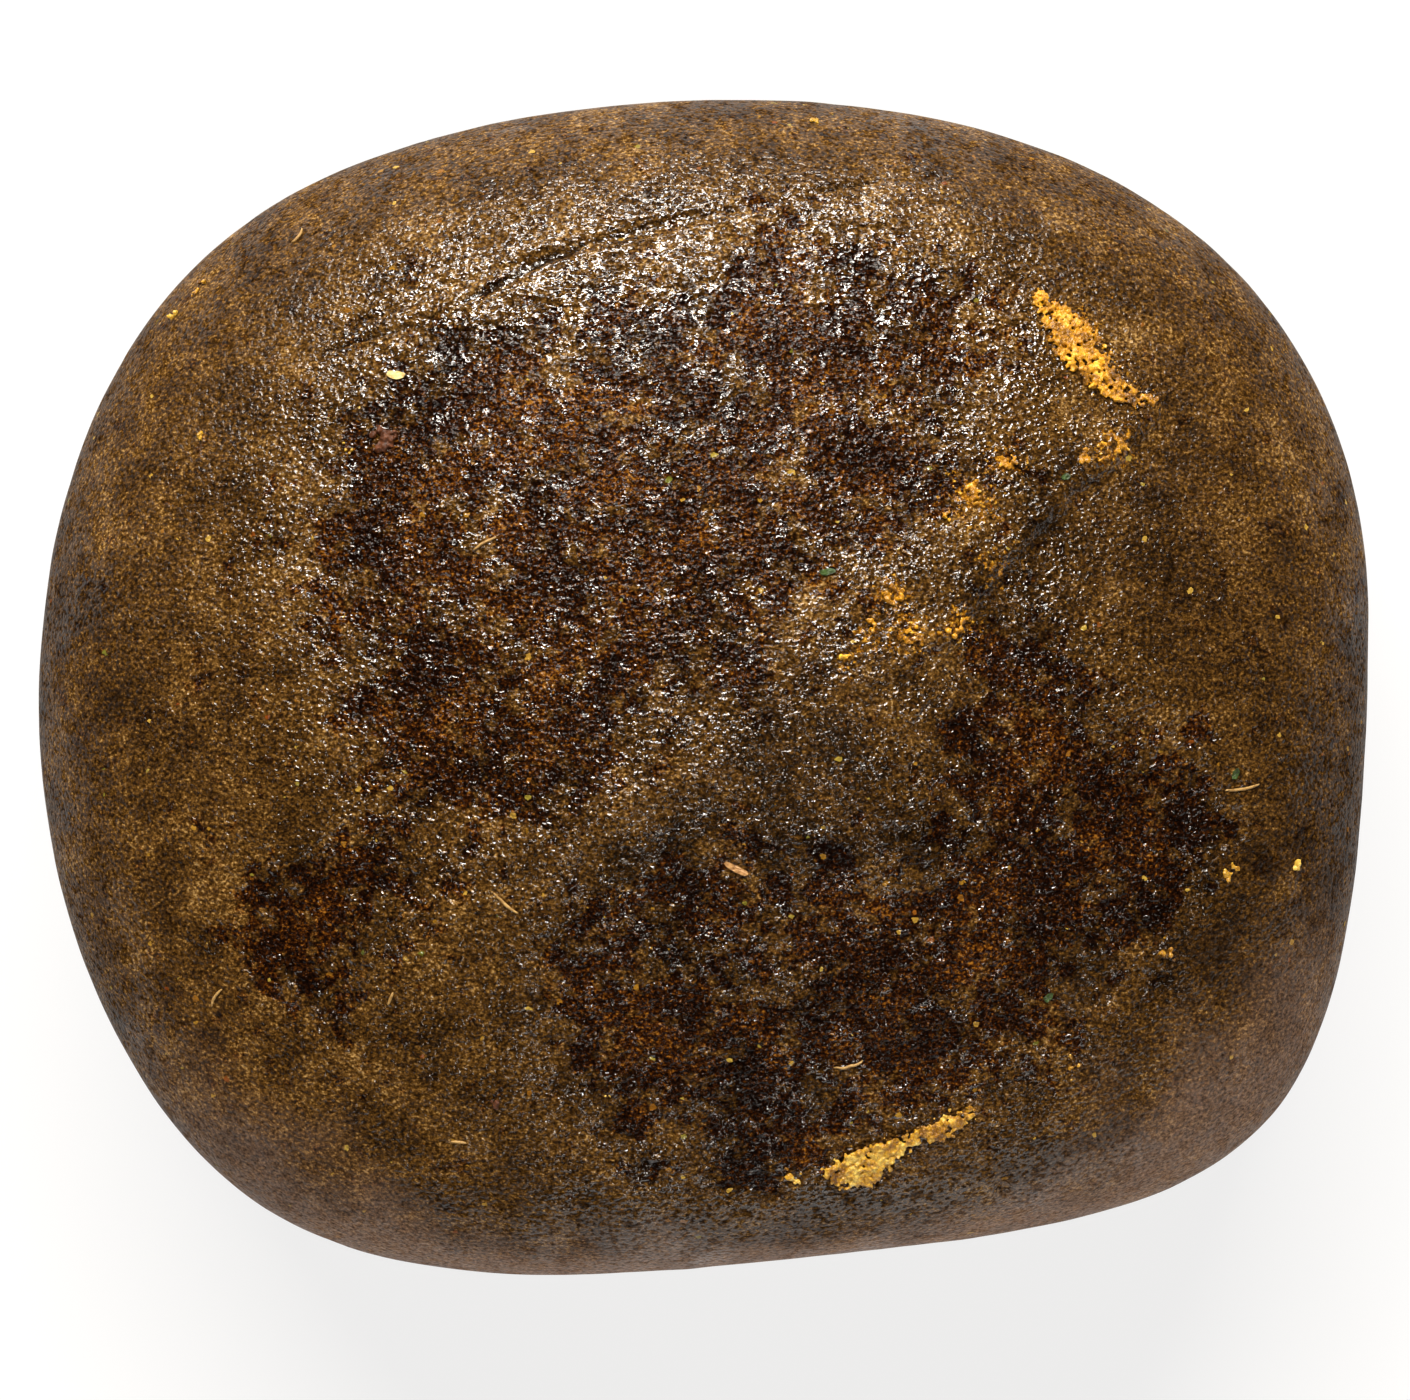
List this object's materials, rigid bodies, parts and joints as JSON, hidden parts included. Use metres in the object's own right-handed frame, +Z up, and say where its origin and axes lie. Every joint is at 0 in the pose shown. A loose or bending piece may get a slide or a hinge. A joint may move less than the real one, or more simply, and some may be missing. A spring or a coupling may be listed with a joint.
{
  "type": "rosin cake",
  "caption": "Bare squarish pebble of pressed dark resin for bow hair, with a burnished rind worn away on its domed top and a flat base.",
  "frame": {"origin": "centre of the flat base, under the middle of the plan", "axes": "+X along the length, +Y along the depth, +Z up out of the domed top"},
  "size_m": [0.042, 0.037, 0.02],
  "materials": {
    "raw_resin": "pressed raw resin, rough and grainy, dark with glossy facets and tan grit",
    "burnished_resin": "resin rubbed smooth by handling, matt brown-grey with a fine grain",
    "amber_resin": "broken amber resin, waxy gloss",
    "golden_resin": "broken golden resin, waxy gloss",
    "pale_resin_grain": "small pale yellow resin grain",
    "husk": "dry red-brown husk",
    "leaf": "dry green leaf fleck",
    "straw": "dry pale straw",
    "chaff": "dry papery chaff",
    "fibre": "dry pale plant fibre"
  },
  "bodies": {
    "root": {"resin_core": "raw_resin", "burnished_rind": "burnished_resin", "amber_crust_upper": "amber_resin", "amber_crust_side": "amber_resin", "gold_crust_lower": "golden_resin", "amber_crumbs": "amber_resin", "gold_crumbs": "golden_resin", "yellow_grains": "pale_resin_grain", "husk_grain": "husk", "orange_grain": "husk", "leaf_flecks": "leaf", "straw_chip": "straw", "chaff_flake": "chaff", "straw_fibres": "fibre"}
  },
  "joints": []
}
